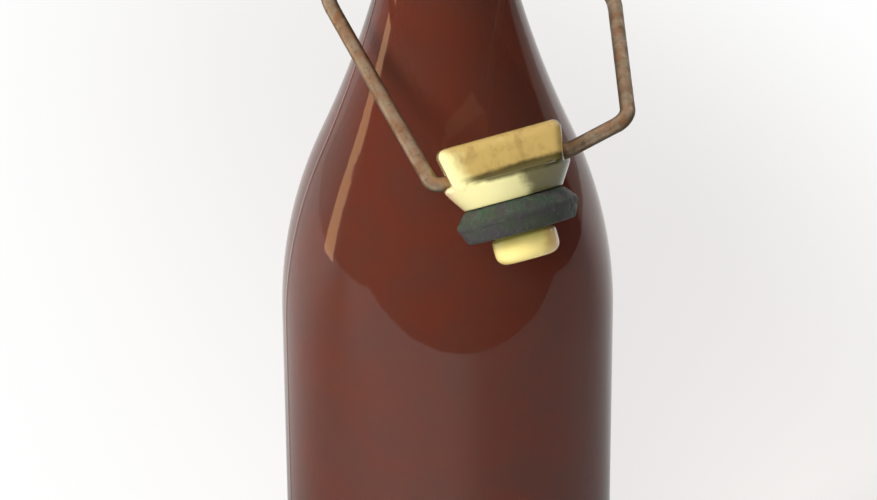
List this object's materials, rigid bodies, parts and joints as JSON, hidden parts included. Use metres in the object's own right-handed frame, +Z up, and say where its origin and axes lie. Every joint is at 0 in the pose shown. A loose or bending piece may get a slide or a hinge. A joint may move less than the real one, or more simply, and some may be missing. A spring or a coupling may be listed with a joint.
{
  "type": "swing top bottle",
  "caption": "Dark red-brown glass bottle with an open wire swing closure, its porcelain stopper and rubber ring hanging in front of the shoulder.",
  "frame": {"origin": "middle of the base, on the surface the bottle stands on", "axes": "+Z up along the bottle's middle line; the closure's pivots lie along X; the open bail hangs toward -Y and the raised lever stands at +Y"},
  "size_m": [0.07, 0.0951, 0.2605],
  "materials": {
    "glass": "glossy, dark red-brown",
    "wire": "dull, browned with age",
    "porcelain": "glossy, yellowed",
    "rubber": "matt, grey-green"
  },
  "bodies": {
    "bottle": {"bottle": "glass"},
    "lever": {"lever_wire": "wire"},
    "bail": {"bail_wire": "wire"},
    "stopper": {"stopper": "porcelain", "gasket": "rubber"}
  },
  "joints": [
    {"name": "lever_pivot", "type": "hinge", "parent": "bottle", "child": "lever", "pos_m": [0, 0, 0.21702], "axis": [-1, 0, 0], "range_deg": [0, 115]},
    {"name": "bail_pivot", "type": "hinge", "parent": "lever", "child": "bail", "pos_m": [0, 0.0077, 0.22061], "axis": [1, 0, 0], "range_deg": [-107.27, 0]},
    {"name": "stopper_pivot", "type": "hinge", "parent": "bail", "child": "stopper", "pos_m": [0, -0.04423, 0.1964], "axis": [0.9711, -0.1008, 0.2162], "range_deg": [-216.5, 143.5]}
  ]
}
